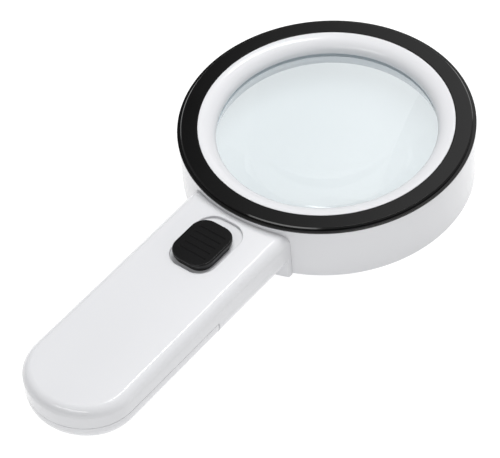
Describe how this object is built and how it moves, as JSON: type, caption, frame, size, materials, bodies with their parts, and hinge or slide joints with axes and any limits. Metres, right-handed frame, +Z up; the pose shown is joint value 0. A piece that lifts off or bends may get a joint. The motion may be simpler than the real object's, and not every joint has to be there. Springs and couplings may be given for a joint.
{
  "type": "low vision magnifier",
  "caption": "Lighted hand magnifier: large round lens in a white skirted head with a glossy black trim ring, on a flat white battery handle with a black sliding switch.",
  "frame": {"origin": "on the lens axis at the bottom rim of the head's skirt", "axes": "+Z up out of the lens through the trim ring, +X away from the handle, which runs towards -X"},
  "size_m": [0.2525, 0.1306, 0.0288],
  "materials": {
    "white_plastic": "semi-gloss moulded white",
    "black_gloss": "glossy moulded black",
    "lens_glass": "clear polished optical glass",
    "board": "white solder resist",
    "lamp": "white lamp body with a pale yellow face",
    "resistor": "matte black",
    "cell_case": "printed metallic sleeve; aluminium's density is close to a cell's mean density",
    "nickel": "nickel plate",
    "steel": "zinc-plated steel",
    "phenolic": "brown phenolic sheet",
    "knob_plastic": "black moulding",
    "contact_brass": "tinned brass",
    "lead_red": "red insulation",
    "lead_black": "black insulation"
  },
  "bodies": {
    "housing": {"head_housing": "white_plastic", "lens_carrier": "white_plastic", "led_cover": "white_plastic", "led_board": "board", "led_1": "lamp", "led_2": "lamp", "led_3": "lamp", "led_4": "lamp", "led_5": "lamp", "led_6": "lamp", "led_7": "lamp", "led_8": "lamp", "led_9": "lamp", "led_10": "lamp", "led_11": "lamp", "led_12": "lamp", "resistor_1": "resistor", "resistor_2": "resistor", "resistor_3": "resistor", "resistor_4": "resistor", "lens": "lens_glass", "lens_bezel": "white_plastic", "trim_ring": "black_gloss", "cover_screws": "steel", "bezel_screws": "steel", "collar_screws": "steel", "handle_housing": "white_plastic", "handle_base": "white_plastic", "base_screws": "steel", "battery_1": "cell_case", "battery_2": "cell_case", "battery_3": "cell_case", "spring_1": "nickel", "spring_2": "nickel", "spring_3": "nickel", "contact_positive": "nickel", "contact_bridge_front": "nickel", "contact_bridge_rear": "nickel", "contact_negative": "nickel", "switch_frame": "steel", "switch_base": "phenolic", "switch_terminals": "contact_brass", "switch_screws": "steel", "wire_positive": "lead_red", "wire_feed": "lead_red", "wire_negative": "lead_black"},
    "switch_slider": {"switch_cap": "black_gloss", "switch_knob": "knob_plastic", "switch_wiper": "contact_brass"},
    "battery_door": {"battery_door": "white_plastic"}
  },
  "joints": [
    {"name": "switch_slide", "type": "slide", "parent": "housing", "child": "switch_slider", "axis": [1, 0, 0], "range_m": [0, 0.0042]},
    {"name": "door_slide", "type": "slide", "parent": "housing", "child": "battery_door", "axis": [-1, 0, 0], "range_m": [0, 0.085]}
  ]
}
